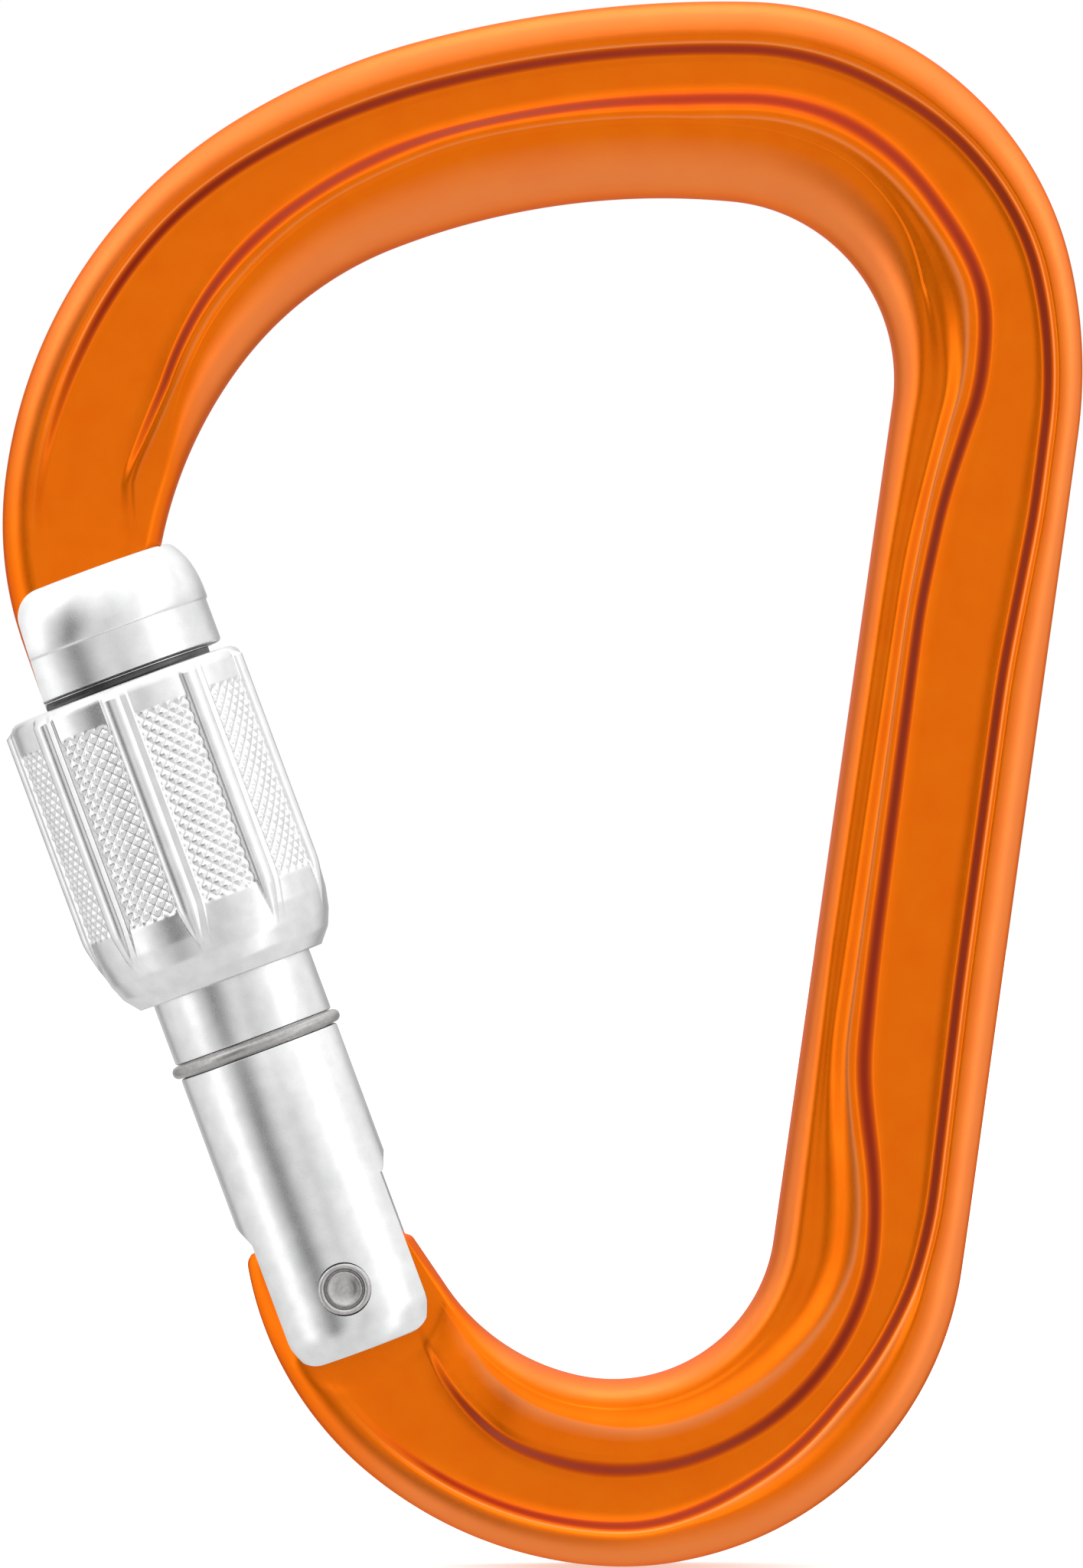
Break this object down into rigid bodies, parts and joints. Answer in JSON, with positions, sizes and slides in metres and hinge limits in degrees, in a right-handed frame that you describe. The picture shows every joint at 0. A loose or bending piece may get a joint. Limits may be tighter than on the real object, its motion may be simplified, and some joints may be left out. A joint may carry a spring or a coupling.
{
  "type": "locking carabiner",
  "caption": "Pear-shaped screw-gate carabiner: I-beam bar, sprung keylock gate on a riveted hinge, and a ribbed, knurled sleeve that screws up over the nose to lock it.",
  "frame": {"origin": "the point where a rope bears in the wide end: the top of the inside of the basket, in the middle of the bar's thickness", "axes": "+Z is the load axis, from the narrow end up to the basket; +X runs from the gate to the spine; Y is the thickness"},
  "size_m": [0.0786, 0.0184, 0.1138],
  "materials": {
    "anodised_bar": "orange anodised, satin",
    "gate_metal": "clear anodised, satin",
    "sleeve_metal": "clear anodised, satin, knurled between its ribs",
    "rivet_steel": "plain stainless",
    "spring_steel": "drawn stainless wire",
    "black_rubber": "matt"
  },
  "bodies": {
    "frame": {"frame": "anodised_bar"},
    "gate": {"gate": "gate_metal", "hinge_rivet": "rivet_steel", "gate_spring": "spring_steel", "sleeve_stop_ring": "spring_steel"},
    "plunger": {"spring_plunger": "rivet_steel"},
    "sleeve_carrier": {"friction_ring": "black_rubber"},
    "sleeve": {"locking_sleeve": "sleeve_metal"}
  },
  "joints": [
    {"name": "gate_open", "type": "hinge", "parent": "frame", "child": "gate", "pos_m": [-0.0222, 0, -0.0793], "axis": [0, 1, 0], "range_deg": [0, 27], "stiffness_Nm_per_rad": 0.15, "springref_deg": -57.3},
    {"name": "plunger_slide", "type": "slide", "parent": "gate", "child": "plunger", "axis": [-0.3486, 0, 0.9373], "range_m": [0, 0.00085], "deforming": ["gate_spring"]},
    {"name": "sleeve_travel", "type": "slide", "parent": "gate", "child": "sleeve_carrier", "axis": [-0.3486, 0, 0.9373], "range_m": [-0.00462, 0.00252]},
    {"name": "sleeve_turn", "type": "hinge", "parent": "sleeve_carrier", "child": "sleeve", "pos_m": [-0.0222, 0, -0.0793], "axis": [-0.3486, 0, 0.9373], "range_deg": [-552, 300]}
  ],
  "couplings": [
    {"joint": "plunger_slide", "follows": "gate_open", "m_per_rad": 0.001706},
    {"joint": "sleeve_travel", "follows": "sleeve_turn", "m_per_rad": 0.00047746}
  ]
}
